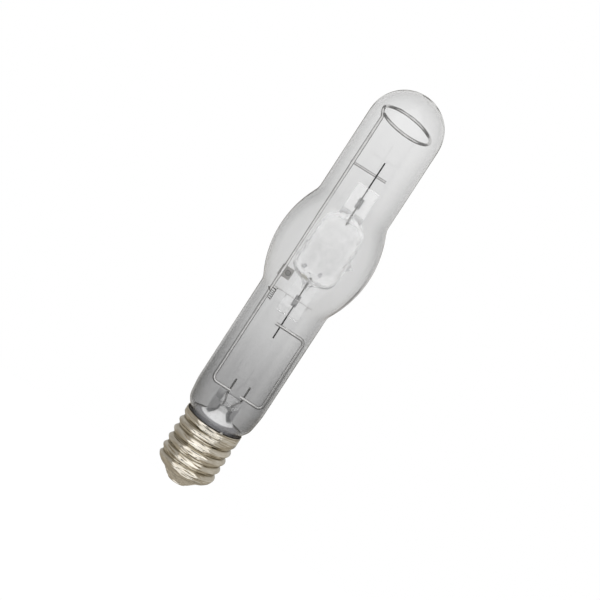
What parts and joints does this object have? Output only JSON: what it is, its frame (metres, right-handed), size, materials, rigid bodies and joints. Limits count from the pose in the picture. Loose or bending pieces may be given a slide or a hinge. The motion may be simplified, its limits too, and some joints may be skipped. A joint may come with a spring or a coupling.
{
  "type": "metal halide lamp",
  "caption": "Tubular metal halide discharge lamp with a bulged clear glass bulb, a quartz arc tube on a wire frame and a large rolled-thread screw cap.",
  "frame": {"origin": "tip of the centre contact, on the lamp's axis", "axes": "+Z along the lamp's axis towards the dome, +X towards the return wire and the filling pip, -Y towards the side that shows the frame's welds"},
  "size_m": [0.0654, 0.0654, 0.2932],
  "materials": {
    "bulb_glass": "clear blown glass, polished",
    "stem_glass": "clear pressed glass",
    "quartz": "clear fused quartz",
    "frame_nickel": "drawn nickel-plated wire",
    "lead_nickel": "drawn nickel wire",
    "molybdenum": "rolled molybdenum, satin",
    "tungsten": "drawn tungsten, dull",
    "mercury": "liquid metal, mirror bright",
    "salts": "frozen crust, matt",
    "getter_steel": "pressed nickel-plated steel",
    "getter_powder": "pressed powder, matt dark grey",
    "cap_nickel": "rolled brass, nickel-plated",
    "insulator_glaze": "glazed ceramic, grey-beige",
    "solder": "soft solder, dull bright",
    "cement": "baked basing cement, dark"
  },
  "bodies": {
    "root": {"outer_bulb": "bulb_glass", "glass_stem": "stem_glass", "exhaust_tube": "stem_glass", "shell_lead": "lead_nickel", "contact_lead": "lead_nickel", "shell_wire": "lead_nickel", "contact_wire": "lead_nickel", "frame_wire": "frame_nickel", "return_wire": "frame_nickel", "upper_crossbar": "frame_nickel", "arc_tube": "quartz", "upper_foil": "molybdenum", "lower_foil": "molybdenum", "upper_lead": "molybdenum", "lower_lead": "molybdenum", "upper_electrode": "tungsten", "lower_electrode": "tungsten", "upper_electrode_coil": "tungsten", "lower_electrode_coil": "tungsten", "mercury_drops": "mercury", "halide_salts": "salts", "getter_strap": "getter_steel", "getter_disc": "getter_powder", "starter_coil": "frame_nickel", "frame_tie": "frame_nickel", "pinch_wire": "lead_nickel", "screw_shell": "cap_nickel", "cap_insulator": "insulator_glaze", "centre_contact": "cap_nickel", "contact_solder": "solder", "side_solder": "solder", "basing_cement": "cement"}
  },
  "joints": []
}
